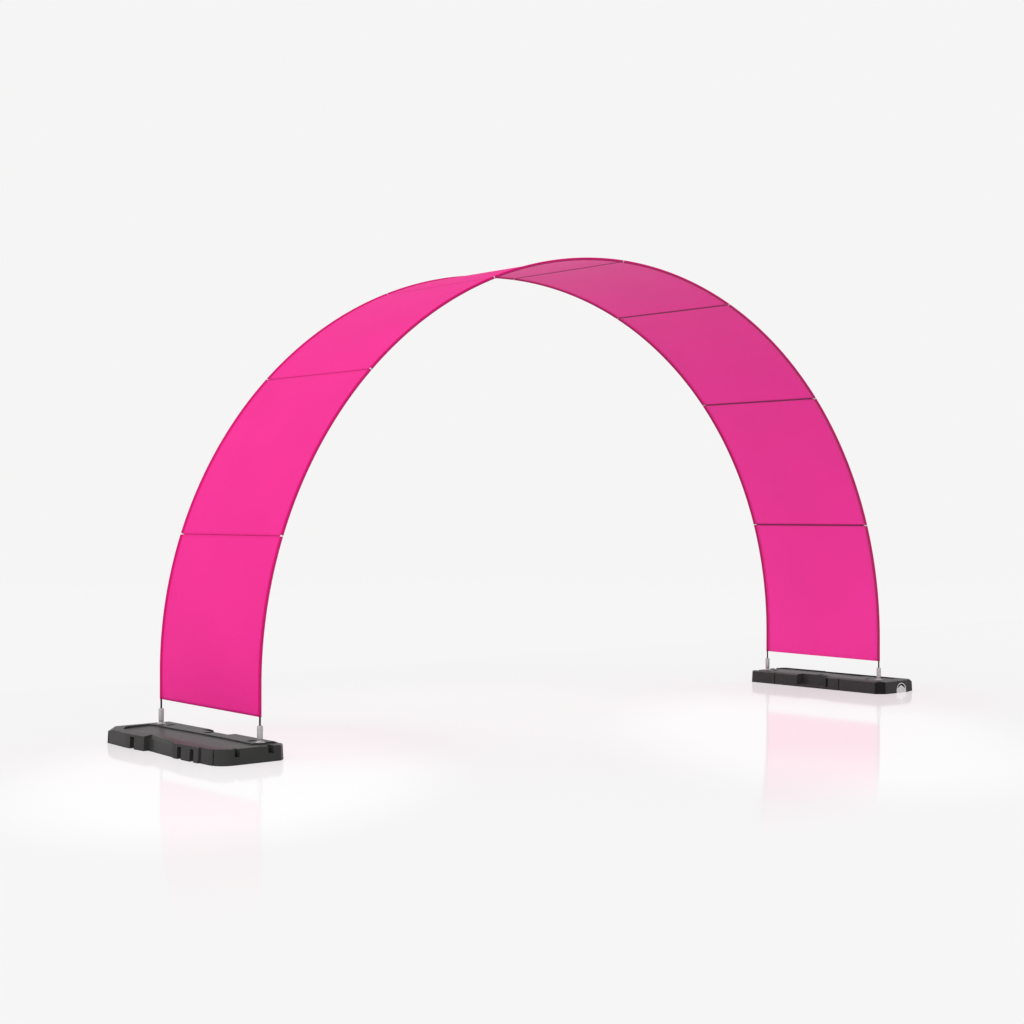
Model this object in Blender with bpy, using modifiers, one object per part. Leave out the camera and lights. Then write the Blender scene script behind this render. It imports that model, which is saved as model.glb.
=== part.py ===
"""Free-standing walk-through arch: eight cloth panels sleeved on two bent pole lines over two base plates.

X runs along the span, Y across the cloth, Z up. The origin is on the floor, midway between the plates.
"""
import math

import bmesh
import bpy
import numpy as np
from mathutils import Matrix, Vector

# Arch line, at the pole centres
SPAN_HALF = 2.462
ARCH_RISE = 2.348
LEG_STRAIGHT = 0.2805
POLE_HALF_SPACING = 0.500

# Where the cloth is joined and where it ends, as lengths along the arch from its crown
LEFT_HEM = -3.926
RIGHT_HEM = 3.924
SEAMS = (-3.018, -1.982, -0.971, 0.045, 0.983, 1.987, 2.988)

# Cloth, its pole sleeves and the tapes that join the panels
CLOTH = 0.0015
SLEEVE_APOTHEM = 0.0095
SLEEVE_SIDES = 8
SLEEVE_NECK = 0.0145
HEM_FLAP = 0.012
FLAP_DROP = 0.0021
SEAM_GAP = 0.003
NOTCH_HALF = 0.008
TAPE = 0.001
TAPE_HALF = 0.0075
PANEL_STEPS = 6

# Poles, their ferrules and the sockets they stand in
POLE_RADIUS = 0.004
POLE_END_GAP = 0.001
FERRULE_RADIUS = 0.006
FERRULE_BORE = 0.0047
FERRULE_HALF = 0.030
FERRULE_STEPS = 12
SOCKET_HEIGHT = 0.087
SOCKET_RADIUS = 0.0147
SOCKET_TOP_RADIUS = 0.0105
SOCKET_TOP = 0.004
SOCKET_SHOULDER = 0.022
SOCKET_WAIST_RADIUS = 0.0122
SOCKET_WAIST = 0.014
SOCKET_FLARE = 0.009
SOCKET_FOOT_RADIUS = 0.0240
SOCKET_FOOT = 0.0025
SOCKET_BORE = 0.0045
SOCKET_FLOOR = 0.015
SOCKET_STEPS = 16
SEAT_GAP = 0.0003

# Base plate: v is measured outwards from the pole line, u along the plate
PLATE_HEIGHT = 0.083
PLATE_CHAMFER = 0.011
PLATE_INNER = 0.093
PLATE_OUTER = 0.290
PLATE_HALF_LENGTH = 0.594
DECK_DROP = 0.004
PLATE_OUTLINE = (  # v, u
    (-PLATE_INNER, -0.564), (-PLATE_INNER, 0.548), (-0.043, PLATE_HALF_LENGTH), (0.205, PLATE_HALF_LENGTH),
    (0.262, 0.560), (PLATE_OUTER, 0.455), (PLATE_OUTER, 0.136), (0.276, 0.128), (0.276, -0.385),
    (PLATE_OUTER, -0.404), (PLATE_OUTER, -0.554), (0.250, -PLATE_HALF_LENGTH), (-0.063, -PLATE_HALF_LENGTH),
)
DECK_OUTLINE = (  # v, u of the lowered top face
    (0.048, -0.620), (0.066, 0.330), (0.042, 0.470), (0.190, 0.530), (0.320, 0.560), (0.320, -0.620),
)
SCOOPS = (  # name, v past the side, then u, v of the wall's top and v of its foot at each end
    ("outer", 0.330, (0.148, 0.212, 0.266), (-0.112, 0.246, 0.284)),
    ("inner", -0.130, (0.110, -0.034, -0.080), (-0.150, -0.046, -0.087)),
)
SCOOP_FOOT = 0.013
SIDE_SLOTS = ((0.266, 0.310), (-0.233, -0.198), (-0.355, -0.320))  # u from, u to
SIDE_SLOT_TOP = 0.060
SIDE_SLOT_DEPTH = 0.026
END_SLOTS = ((0.178, 0.199), (-0.013, 0.014))  # v from, v to
END_SLOT_FOOT = 0.035
END_SLOT_DEPTH = 0.020
SIDE_GROOVES = (-0.343, 0.236)  # u
GROOVE_HALF = 0.0035
GROOVE_DEPTH = 0.006
DECK_POCKETS = (  # v from, v to, u from, u to
    (-0.028, 0.016, 0.392, 0.420), (-0.022, 0.020, -0.012, 0.014), (-0.014, 0.018, -0.440, -0.412),
)
POCKET_DEPTH = 0.010
CUT_OVER = 0.020

# Arched plug in one end of each plate
PLUG_V = 0.1165
PLUG_HALF_WIDTH = 0.0515
PLUG_TOP = 0.067
PLUG_DEPTH = 0.030
PLUG_SET_BACK = 0.001
PLUG_RIM = 0.008
PLUG_PEAK = 0.054
CRESCENT_DEPTH = 0.012
CRESCENT_FROM = 35
PLUG_STEPS = 12

COLOURS = {  # red, green, blue, roughness, metallic
    "cloth": (0.870, 0.045, 0.330, 0.75, 0.0),
    "tape": (0.420, 0.008, 0.130, 0.80, 0.0),
    "pole": (0.070, 0.070, 0.072, 0.45, 0.0),
    "ferrule": (0.800, 0.800, 0.800, 0.35, 0.9),
    "socket": (0.420, 0.400, 0.410, 0.40, 0.6),
    "rubber": (0.055, 0.055, 0.053, 0.55, 0.0),
    "plug": (0.550, 0.530, 0.540, 0.60, 0.0),
}


def clear_scene():
    for item in list(bpy.data.objects):
        bpy.data.objects.remove(item, do_unlink=True)


def make_collection(name):
    group = bpy.data.collections.new(name)
    bpy.context.scene.collection.children.link(group)
    return group


def make_material(name):
    red, green, blue, roughness, metallic = COLOURS[name]
    material = bpy.data.materials.new(name)
    material.use_nodes = True
    shader = material.node_tree.nodes["Principled BSDF"]
    shader.inputs["Base Color"].default_value = (red, green, blue, 1.0)
    shader.inputs["Roughness"].default_value = roughness
    shader.inputs["Metallic"].default_value = metallic
    material.diffuse_color = (red, green, blue, 1.0)
    return material


clear_scene()
PARTS = make_collection("walk_through_arch")
CUTTERS = make_collection("cutters")
MATERIALS = {name: make_material(name) for name in COLOURS}


def add_part(name, data, material_name):
    item = bpy.data.objects.new(name, data)
    PARTS.objects.link(item)
    data.materials.clear()
    data.materials.append(MATERIALS[material_name])
    return item


def add_cutter(target, name, data):
    """A cutter in the target's own coordinates, and the Boolean that uses it."""
    item = bpy.data.objects.new(name, data)
    CUTTERS.objects.link(item)
    item.matrix_world = target.matrix_world.copy()
    item.hide_render = True
    item.display_type = "WIRE"
    modifier = target.modifiers.new(name, "BOOLEAN")
    modifier.operation = "DIFFERENCE"
    modifier.object = item
    modifier.solver = "EXACT"


def to_mesh(name, mesh):
    data = bpy.data.meshes.new(name)
    mesh.to_mesh(data)
    mesh.free()
    return data


def smooth(data, degrees):
    data.shade_smooth()
    data.set_sharp_from_angle(angle=math.radians(degrees))


# The arch line

def arch_table():
    """Arc length and angle along one quarter of the ellipse, from the crown down."""
    angle = np.linspace(0.0, math.pi / 2, 4001)
    step = np.hypot(np.diff(SPAN_HALF * np.sin(angle)), np.diff(ARCH_RISE * np.cos(angle)))
    return np.concatenate(([0.0], np.cumsum(step))), angle


ARC, ANGLE = arch_table()
QUARTER = float(ARC[-1])
SPRING_HEIGHT = PLATE_HEIGHT + LEG_STRAIGHT


def arch_point(along):
    """Point on the arch line at a length from the crown, with the tangent and the outward normal there."""
    side = math.copysign(1.0, along)
    if abs(along) > QUARTER:
        point = Vector((side * SPAN_HALF, 0.0, SPRING_HEIGHT + QUARTER - abs(along)))
        tangent = Vector((0.0, 0.0, -side))
    else:
        angle = side * float(np.interp(abs(along), ARC, ANGLE))
        point = Vector((SPAN_HALF * math.sin(angle), 0.0, SPRING_HEIGHT + ARCH_RISE * math.cos(angle)))
        tangent = Vector((SPAN_HALF * math.cos(angle), 0.0, -ARCH_RISE * math.sin(angle))).normalized()
    return point, tangent, Vector((-tangent.z, 0.0, tangent.x))


def steps_between(first, last, count):
    return [float(value) for value in np.linspace(first, last, count + 1)]


# Cloth

def sleeve_section():
    """Half of the cloth's cross section as across, out: the web's edge, the sleeve, the flap back on the web."""
    centre = POLE_HALF_SPACING + FERRULE_RADIUS + SEAT_GAP + CLOTH / 2 - SLEEVE_APOTHEM
    corner = SLEEVE_APOTHEM / math.cos(math.pi / SLEEVE_SIDES)
    neck = centre - SLEEVE_NECK
    section = [(neck, 0.0)]
    for index in range(SLEEVE_SIDES):
        angle = math.pi - (index + 0.5) * 2 * math.pi / SLEEVE_SIDES
        section.append((centre + corner * math.cos(angle), corner * math.sin(angle)))
    section.append((neck, -FLAP_DROP))
    section.append((neck - HEM_FLAP, -FLAP_DROP))
    return section


def bend_sheet(name, section, lengths, notched_rows):
    """A flat grid carried onto the arch, without its sleeves in the notched rows."""
    last_column = len(section) - 1
    last_row = len(lengths) - 1
    mesh = bmesh.new()
    bmesh.ops.create_grid(mesh, x_segments=last_column, y_segments=last_row, size=1.0)
    notches = []
    for face in mesh.faces:
        centre = face.calc_center_median()
        column = int((centre.x + 1.0) / 2.0 * last_column)
        row = int((centre.y + 1.0) / 2.0 * last_row)
        if row in notched_rows and column != last_column // 2:
            notches.append(face)
    bmesh.ops.delete(mesh, geom=notches, context="FACES")
    for vertex in mesh.verts:
        across, out = section[round((vertex.co.x + 1.0) / 2.0 * last_column)]
        point, _tangent, normal = arch_point(lengths[round((vertex.co.y + 1.0) / 2.0 * last_row)])
        vertex.co = point + normal * out + Vector((0.0, across, 0.0))
    return to_mesh(name, mesh)


def thicken(item, thickness):
    modifier = item.modifiers.new("thickness", "SOLIDIFY")
    modifier.thickness = thickness
    modifier.offset = 0.0
    modifier.use_even_offset = True


def build_panel(number, start, end, start_joined, end_joined):
    half = sleeve_section()
    section = [(-across, out) for across, out in reversed(half)] + half
    first = [start + SEAM_GAP / 2, start + NOTCH_HALF, start + FERRULE_HALF] if start_joined else [start]
    last = [end - FERRULE_HALF, end - NOTCH_HALF, end - SEAM_GAP / 2] if end_joined else [end]
    lengths = first[:-1] + steps_between(first[-1], last[0], PANEL_STEPS) + last[1:]
    notched_rows = ([0] if start_joined else []) + ([len(lengths) - 2] if end_joined else [])
    data = bend_sheet("panel_%d" % number, section, lengths, notched_rows)
    smooth(data, 50)
    thicken(add_part("panel_%d" % number, data, "cloth"), CLOTH)


def build_tape(number, seam):
    """The strip under one cross seam, on the cloth's inner face between the two sleeves."""
    reach = sleeve_section()[0][0] - SEAT_GAP
    under = -(CLOTH / 2 + SEAT_GAP + TAPE / 2)
    lengths = (seam - TAPE_HALF, seam, seam + TAPE_HALF)
    data = bend_sheet("seam_tape_%d" % number, [(-reach, under), (reach, under)], lengths, ())
    thicken(add_part("seam_tape_%d" % number, data, "tape"), TAPE)


# Poles, ferrules and sockets

def build_pole(name, lengths, across):
    curve = bpy.data.curves.new(name, "CURVE")
    curve.dimensions = "3D"
    curve.bevel_depth = POLE_RADIUS
    curve.bevel_resolution = 2
    curve.use_fill_caps = True
    spline = curve.splines.new("POLY")
    spline.points.add(len(lengths) - 1)
    for control, along in zip(spline.points, lengths):
        point = arch_point(along)[0]
        control.co = (point.x, across, point.z, 1.0)
    add_part(name, curve, "pole")


def build_pole_line(row, across):
    """Eight pole sections end to end, each from the middle of one ferrule to the middle of the next."""
    foot = QUARTER + LEG_STRAIGHT - SOCKET_FLOOR - SEAT_GAP
    ends = (-foot,) + SEAMS + (foot,)
    for index in range(len(ends) - 1):
        first = [ends[index] + POLE_END_GAP / 2, ends[index] + FERRULE_HALF]
        last = [ends[index + 1] - FERRULE_HALF, ends[index + 1] - POLE_END_GAP / 2]
        if index == 0:
            first = [-foot, -QUARTER]
        if index == len(ends) - 2:
            last = [QUARTER, foot]
        lengths = first[:1] + steps_between(first[1], last[0], PANEL_STEPS) + last[1:]
        build_pole("pole_%s_%d" % (row, index + 1), lengths, across)


def turned_mesh(name, profile, closed):
    mesh = bmesh.new()
    corners = [mesh.verts.new((radius, 0.0, height)) for radius, height in profile]
    for first, second in zip(corners, corners[1:]):
        mesh.edges.new((first, second))
    if closed:
        mesh.edges.new((corners[-1], corners[0]))
    return to_mesh(name, mesh)


def turn(item, steps):
    modifier = item.modifiers.new("turned", "SCREW")
    modifier.axis = "Z"
    modifier.angle = 2 * math.pi
    modifier.steps = steps
    modifier.render_steps = steps
    modifier.use_merge_vertices = True
    modifier.merge_threshold = 0.00001
    modifier.use_smooth_shade = True


def build_ferrules(row, across):
    profile = (
        (FERRULE_RADIUS, FERRULE_HALF), (FERRULE_RADIUS, -FERRULE_HALF),
        (FERRULE_BORE, -FERRULE_HALF), (FERRULE_BORE, FERRULE_HALF),
    )
    data = turned_mesh("ferrule", profile, True)
    for number, seam in enumerate(SEAMS, 1):
        point, tangent, normal = arch_point(seam)
        item = add_part("ferrule_%s_%d" % (row, number), data, "ferrule")
        turn(item, FERRULE_STEPS)
        axes = Matrix((normal, tangent.cross(normal), tangent))
        item.matrix_world = Matrix.Translation((point.x, across, point.z)) @ axes.transposed().to_4x4()


def build_sockets():
    profile = (
        (0.0, SOCKET_FLOOR), (SOCKET_BORE, SOCKET_FLOOR), (SOCKET_BORE, SOCKET_HEIGHT),
        (SOCKET_TOP_RADIUS, SOCKET_HEIGHT), (SOCKET_RADIUS, SOCKET_HEIGHT - SOCKET_TOP),
        (SOCKET_RADIUS, SOCKET_SHOULDER), (SOCKET_WAIST_RADIUS, SOCKET_WAIST), (SOCKET_WAIST_RADIUS, SOCKET_FLARE),
        (SOCKET_FOOT_RADIUS, SOCKET_FOOT), (SOCKET_FOOT_RADIUS, 0.0), (0.0, 0.0),
    )
    data = turned_mesh("socket", profile, False)
    for end, side in (("left", -1), ("right", 1)):
        for row, across in (("near", -POLE_HALF_SPACING), ("far", POLE_HALF_SPACING)):
            item = add_part("socket_%s_%s" % (end, row), data, "socket")
            turn(item, SOCKET_STEPS)
            item.location = (side * SPAN_HALF, across, PLATE_HEIGHT + SEAT_GAP)


# Base plates and their end plugs, in plate coordinates: x is -v, y is u

def slab(name, outline, low, high):
    """A flat outline given as v, u, as a closed solid between two heights."""
    curve = bpy.data.curves.new(name, "CURVE")
    curve.dimensions = "2D"
    curve.fill_mode = "BOTH"
    curve.extrude = (high - low) / 2
    spline = curve.splines.new("POLY")
    spline.points.add(len(outline) - 1)
    for control, (outward, along) in zip(spline.points, outline):
        control.co = (-outward, along, 0.0, 1.0)
    spline.use_cyclic_u = True
    helper = bpy.data.objects.new(name, curve)
    bpy.context.scene.collection.objects.link(helper)
    evaluated = helper.evaluated_get(bpy.context.evaluated_depsgraph_get())
    flat = bpy.data.meshes.new_from_object(evaluated)
    mesh = bmesh.new()
    mesh.from_mesh(flat)
    bmesh.ops.remove_doubles(mesh, verts=mesh.verts, dist=0.00001)
    bmesh.ops.dissolve_limit(mesh, angle_limit=0.01, verts=mesh.verts, edges=mesh.edges)
    bmesh.ops.recalc_face_normals(mesh, faces=mesh.faces)
    bmesh.ops.translate(mesh, verts=mesh.verts, vec=(0.0, 0.0, (high + low) / 2))
    bpy.data.objects.remove(helper, do_unlink=True)
    bpy.data.meshes.remove(flat)
    return mesh


def box(name, v_range, u_range, z_range):
    mesh = bmesh.new()
    bmesh.ops.create_cube(mesh, size=1.0)
    for vertex in mesh.verts:
        vertex.co = Vector((
            -v_range[0] if vertex.co.x > 0 else -v_range[1],
            u_range[1] if vertex.co.y > 0 else u_range[0],
            z_range[1] if vertex.co.z > 0 else z_range[0],
        ))
    return to_mesh(name, mesh)


def scoop_mesh(name, beyond, *ends):
    """A block whose inner wall leans from the scoop's foot to its top, unlike at its two ends."""
    mesh = bmesh.new()
    bmesh.ops.create_cube(mesh, size=1.0)
    top = PLATE_HEIGHT + CUT_OVER
    for vertex in mesh.verts:
        along, wall_top, wall_foot = ends[0] if vertex.co.y > 0 else ends[1]
        lean = (wall_top - wall_foot) / (PLATE_HEIGHT - SCOOP_FOOT)
        wall = wall_foot if vertex.co.z < 0 else wall_top + lean * CUT_OVER
        outward = wall if vertex.co.x > 0 else beyond
        vertex.co = Vector((-outward, along, SCOOP_FOOT if vertex.co.z < 0 else top))
    mesh.normal_update()
    bmesh.ops.recalc_face_normals(mesh, faces=mesh.faces)
    return to_mesh(name, mesh)


def arch_outline(half_width, top):
    """Round-headed outline, v and height, standing a little below the floor so that it opens there."""
    centre = top - half_width
    points = [(PLUG_V + half_width, -CUT_OVER)]
    for index in range(PLUG_STEPS + 1):
        angle = math.pi * index / PLUG_STEPS
        points.append((PLUG_V + half_width * math.cos(angle), centre + half_width * math.sin(angle)))
    points.append((PLUG_V - half_width, -CUT_OVER))
    return points


def stand_up(mesh):
    """Turns a slab's u axis up and its height axis along the plate."""
    bmesh.ops.rotate(mesh, verts=mesh.verts, matrix=Matrix.Rotation(math.pi / 2, 3, "X"))
    bmesh.ops.scale(mesh, verts=mesh.verts, vec=(1.0, -1.0, 1.0))
    mesh.normal_update()
    bmesh.ops.recalc_face_normals(mesh, faces=mesh.faces)


def build_plate():
    mesh = slab("plate", PLATE_OUTLINE, 0.0, PLATE_HEIGHT)
    rim = [edge for edge in mesh.edges if all(vert.co.z > PLATE_HEIGHT / 2 for vert in edge.verts)]
    bmesh.ops.bevel(mesh, geom=rim, offset=PLATE_CHAMFER, segments=1, affect="EDGES")
    plate = add_part("base_plate_left", to_mesh("base_plate", mesh), "rubber")
    plate.location = (-SPAN_HALF, 0.0, 0.0)
    bpy.context.view_layer.update()
    over = PLATE_HEIGHT + CUT_OVER
    deck = slab("deck", DECK_OUTLINE, PLATE_HEIGHT - DECK_DROP, over)
    add_cutter(plate, "deck", to_mesh("deck", deck))
    for name, beyond, high_end, low_end in SCOOPS:
        add_cutter(plate, "scoop_" + name, scoop_mesh(name, beyond, high_end, low_end))
    for index, u_range in enumerate(SIDE_SLOTS, 1):
        v_range = (PLATE_OUTER - SIDE_SLOT_DEPTH, PLATE_OUTER + CUT_OVER)
        add_cutter(plate, "side_slot_%d" % index, box("slot", v_range, u_range, (-CUT_OVER, SIDE_SLOT_TOP)))
    for index, v_range in enumerate(END_SLOTS, 1):
        u_range = (-PLATE_HALF_LENGTH - CUT_OVER, -PLATE_HALF_LENGTH + END_SLOT_DEPTH)
        add_cutter(plate, "end_slot_%d" % index, box("slot", v_range, u_range, (END_SLOT_FOOT, over)))
    for index, middle in enumerate(SIDE_GROOVES, 1):
        v_range = (-PLATE_INNER - CUT_OVER, -PLATE_INNER + GROOVE_DEPTH)
        u_range = (middle - GROOVE_HALF, middle + GROOVE_HALF)
        add_cutter(plate, "groove_%d" % index, box("groove", v_range, u_range, (-CUT_OVER, over)))
    for index, (v_from, v_to, u_from, u_to) in enumerate(DECK_POCKETS, 1):
        z_range = (PLATE_HEIGHT - POCKET_DEPTH, over)
        add_cutter(plate, "pocket_%d" % index, box("pocket", (v_from, v_to), (u_from, u_to), z_range))
    seat = arch_outline(PLUG_HALF_WIDTH + SEAT_GAP, PLUG_TOP + SEAT_GAP)
    seat_from = PLATE_HALF_LENGTH - PLUG_DEPTH - SEAT_GAP
    seat_mesh = slab("seat", seat, seat_from, PLATE_HALF_LENGTH + CUT_OVER)
    stand_up(seat_mesh)
    add_cutter(plate, "plug_seat", to_mesh("seat", seat_mesh))
    return plate


def build_plug():
    face = PLATE_HALF_LENGTH - PLUG_SET_BACK
    mesh = slab("plug", arch_outline(PLUG_HALF_WIDTH, PLUG_TOP), PLATE_HALF_LENGTH - PLUG_DEPTH, face)
    stand_up(mesh)
    plug = add_part("end_plug_left", to_mesh("end_plug", mesh), "plug")
    plug.location = (-SPAN_HALF, 0.0, 0.0)
    bpy.context.view_layer.update()
    below = box("below", (0.0, PLATE_OUTER), (0.0, 1.0), (-2 * CUT_OVER, SEAT_GAP))
    add_cutter(plug, "plug_foot", below)
    radius = PLUG_HALF_WIDTH - PLUG_RIM
    centre = PLUG_TOP - PLUG_HALF_WIDTH
    crescent = [(PLUG_V, PLUG_PEAK)]
    for index in range(PLUG_STEPS + 1):
        angle = math.radians(180 - CRESCENT_FROM - index * (180 - 2 * CRESCENT_FROM) / PLUG_STEPS)
        crescent.append((PLUG_V + radius * math.cos(angle), centre + radius * math.sin(angle)))
    cutter = slab("crescent", crescent, face - CRESCENT_DEPTH, face + CUT_OVER)
    stand_up(cutter)
    add_cutter(plug, "crescent", to_mesh("crescent", cutter))
    return plug


def turn_round(item, name, material_name):
    """The same piece under the other foot of the arch, turned half round on the floor."""
    evaluated = item.evaluated_get(bpy.context.evaluated_depsgraph_get())
    data = bpy.data.meshes.new_from_object(evaluated)
    copy = add_part(name, data, material_name)
    copy.rotation_euler = (0.0, 0.0, math.pi)
    copy.location = (SPAN_HALF, 0.0, 0.0)


def build():
    joints = (LEFT_HEM,) + SEAMS + (RIGHT_HEM,)
    for index in range(len(joints) - 1):
        start_joined = index > 0
        end_joined = index < len(joints) - 2
        build_panel(index + 1, joints[index], joints[index + 1], start_joined, end_joined)
    for number, seam in enumerate(SEAMS, 1):
        build_tape(number, seam)
    for row, across in (("near", -POLE_HALF_SPACING), ("far", POLE_HALF_SPACING)):
        build_pole_line(row, across)
        build_ferrules(row, across)
    build_sockets()
    turn_round(build_plate(), "base_plate_right", "rubber")
    turn_round(build_plug(), "end_plug_right", "plug")


build()
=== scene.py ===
import math

import bmesh
import bpy
import numpy as np
from mathutils import Matrix, Vector


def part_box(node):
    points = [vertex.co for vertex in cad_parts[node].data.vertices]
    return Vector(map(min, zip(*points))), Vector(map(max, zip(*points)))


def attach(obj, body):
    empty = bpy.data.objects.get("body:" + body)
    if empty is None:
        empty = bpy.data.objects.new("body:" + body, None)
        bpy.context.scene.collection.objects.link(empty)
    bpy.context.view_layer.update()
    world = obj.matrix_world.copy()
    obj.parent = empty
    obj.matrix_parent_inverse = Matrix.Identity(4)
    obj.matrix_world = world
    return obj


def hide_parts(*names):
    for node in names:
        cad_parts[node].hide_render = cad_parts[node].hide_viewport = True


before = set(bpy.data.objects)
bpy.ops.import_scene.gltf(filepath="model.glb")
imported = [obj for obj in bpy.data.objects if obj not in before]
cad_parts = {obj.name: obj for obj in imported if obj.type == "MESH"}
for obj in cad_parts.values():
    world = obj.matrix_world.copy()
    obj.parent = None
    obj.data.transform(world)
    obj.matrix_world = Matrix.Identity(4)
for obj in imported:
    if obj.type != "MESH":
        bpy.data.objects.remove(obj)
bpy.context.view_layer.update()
print("frame loaded:", len(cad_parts), "nodes")


# Node and mesh helpers

def place(tree, kind, inputs=(), **settings):
    # one shader node, each input a value or the socket that feeds it, by name or in order
    made = tree.nodes.new("ShaderNode" + kind)
    for key, value in settings.items():
        setattr(made, key, value)
    for key, value in (inputs if isinstance(inputs, dict) else dict(enumerate(inputs))).items():
        if isinstance(value, bpy.types.NodeSocket):
            tree.links.new(value, made.inputs[key])
        else:
            made.inputs[key].default_value = value
    return made


def maths(tree, operation, first, second=0.0, third=0.0):
    return place(tree, "Math", (first, second, third), operation=operation).outputs[0]


def times(tree, first, second, plus=None):
    if plus is None:
        return maths(tree, "MULTIPLY", first, second)
    return maths(tree, "MULTIPLY_ADD", first, second, plus)


def vectorMaths(tree, operation, first, second=(0.0, 0.0, 0.0)):
    # measures come out as a value and the rest as a vector
    made = place(tree, "VectorMath", (first, second), operation=operation)
    return made.outputs[1 if operation in ("DOT_PRODUCT", "LENGTH", "DISTANCE") else 0]


def remap(tree, value, fromLow, fromHigh, toLow=0.0, toHigh=1.0, kind="LINEAR"):
    values = (value, fromLow, fromHigh, toLow, toHigh)
    return place(tree, "MapRange", values, interpolation_type=kind).outputs[0]


def split(tree, vector):
    return place(tree, "SeparateXYZ", (vector,)).outputs


def objectPlace(tree):
    return place(tree, "TexCoord").outputs["Object"]


def faceNormal(tree, label="Normal"):
    return place(tree, "NewGeometry").outputs[label]


def mixColour(tree, factor, first, second, blend="MIX"):
    inputs = {0: factor, 6: first, 7: second}
    return place(tree, "Mix", inputs, data_type="RGBA", blend_type=blend).outputs[2]


def toned(tree, colour, tone):
    # the colour times a grey
    grey = place(tree, "CombineColor", (tone, tone, tone)).outputs[0]
    return mixColour(tree, 1.0, colour, grey, "MULTIPLY")


def feed(shader, sources):
    for label, source in sources.items():
        shader.id_data.links.new(source, shader.inputs[label])


def addRelief(shader, height, strength, depth):
    values = {"Strength": strength, "Distance": depth, "Height": height}
    feed(shader, {"Normal": place(shader.id_data, "Bump", values).outputs[0]})


def newGroup(name, values, outputs):
    # a group that takes a vector and named values and puts out named values
    tree = bpy.data.node_groups.new(name, "ShaderNodeTree")
    tree.interface.new_socket(name="Vector", in_out="INPUT", socket_type="NodeSocketVector")
    for label, value in values.items():
        socket = tree.interface.new_socket(name=label, in_out="INPUT", socket_type="NodeSocketFloat")
        socket.default_value = value
    for label in outputs:
        tree.interface.new_socket(name=label, in_out="OUTPUT", socket_type="NodeSocketFloat")
    return tree, tree.nodes.new("NodeGroupInput").outputs, tree.nodes.new("NodeGroupOutput").inputs


def useGroup(tree, group, inputs):
    return place(tree, "Group", node_tree=group, inputs=inputs).outputs


def newMaterial(name, settings):
    # a material whose uniform values sit on the shader's own sockets
    made = bpy.data.materials.new(name)
    made.use_nodes = True
    shader = made.node_tree.nodes["Principled BSDF"]
    for key, value in settings.items():
        shader.inputs[key].default_value = value
    return made, made.node_tree, shader


def meshFrom(name, points, faces, smoothAngle=None):
    data = bpy.data.meshes.new(name)
    data.from_pydata([tuple(map(float, point)) for point in points], [], faces)
    data.validate()
    if smoothAngle is not None:
        data.shade_smooth()
        data.set_sharp_from_angle(angle=math.radians(smoothAngle))
    return data


def linked(name, data):
    made = bpy.data.objects.new(name, data)
    bpy.context.scene.collection.objects.link(made)
    return made


def gathered(parts):
    # several (points, faces) as one
    points, faces, start = [], [], 0
    for partPoints, partFaces in parts:
        points.append(np.reshape(partPoints, (-1, 3)))
        faces += [tuple(corner + start for corner in face) for face in partFaces]
        start += len(points[-1])
    return np.concatenate(points), faces


def addPiece(name, data, material, replaced=()):
    made = linked(name, data)
    if not data.materials:
        data.materials.append(material)
    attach(made, "root")
    if replaced:
        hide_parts(*replaced)
    return made


def roundedPath(corners, closed, steps=6):
    # corners are (a, b, radius), and each becomes an arc of that radius
    path, count = [], len(corners)
    sideShare = 0.49  # of a side, the most that one corner takes
    for index, (a, b, radius) in enumerate(corners):
        corner = Vector((a, b))
        if radius == 0 or (not closed and index in (0, count - 1)):
            path.append(corner)
            continue
        toLast = Vector(corners[index - 1][:2]) - corner
        toNext = Vector(corners[(index + 1) % count][:2]) - corner
        half = toLast.angle(toNext) / 2
        reach = min(radius / math.tan(half), sideShare * toLast.length, sideShare * toNext.length)
        radius = reach * math.tan(half)
        middle = (toLast.normalized() + toNext.normalized()).normalized()
        centre = corner + middle * (radius / math.sin(half))
        start = corner + toLast.normalized() * reach - centre
        end = corner + toNext.normalized() * reach - centre
        first = math.atan2(start.y, start.x)
        turn = (math.atan2(end.y, end.x) - first + math.pi) % (2 * math.pi) - math.pi
        for step in range(steps + 1):
            angle = first + turn * step / steps
            path.append(centre + Vector((math.cos(angle), math.sin(angle))) * radius)
    return path


def latheMesh(name, profile, segments, smoothAngle=40):
    # profile is (radius, height), turned round Z
    points, faces, rings = [], [], []
    for radius, height in profile:
        if radius == 0:
            rings.append([len(points)] * segments)
            points.append((0.0, 0.0, height))
            continue
        rings.append(list(range(len(points), len(points) + segments)))
        for index in range(segments):
            angle = 2 * math.pi * index / segments
            points.append((radius * math.cos(angle), radius * math.sin(angle), height))
    for lower, upper in zip(rings, rings[1:]):
        for index in range(segments):
            after = (index + 1) % segments
            corners = [lower[index], lower[after], upper[after], upper[index]]
            faces.append(list(dict.fromkeys(corners)))
    return meshFrom(name, points, [face for face in faces if len(face) > 2], smoothAngle)


def ringFaces(count, rings):
    # rings of points joined into a closed body
    faces = []
    for first in range(0, count * (rings - 1), count):
        for index in range(count):
            after = (index + 1) % count
            faces.append((first + index, first + after, first + count + after, first + count + index))
    return faces + [tuple(reversed(range(count))), tuple(range(count * (rings - 1), count * rings))]


def outward(data, weld=0.000001):
    # joins points nearer than the weld and turns every face outwards
    mesh = bmesh.new()
    mesh.from_mesh(data)
    bmesh.ops.remove_doubles(mesh, verts=mesh.verts, dist=weld)
    mesh.normal_update()
    bmesh.ops.recalc_face_normals(mesh, faces=mesh.faces)
    mesh.to_mesh(data)
    mesh.free()
    return data


# Arch line at the pole centres, measured from the crown down both sides

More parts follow.
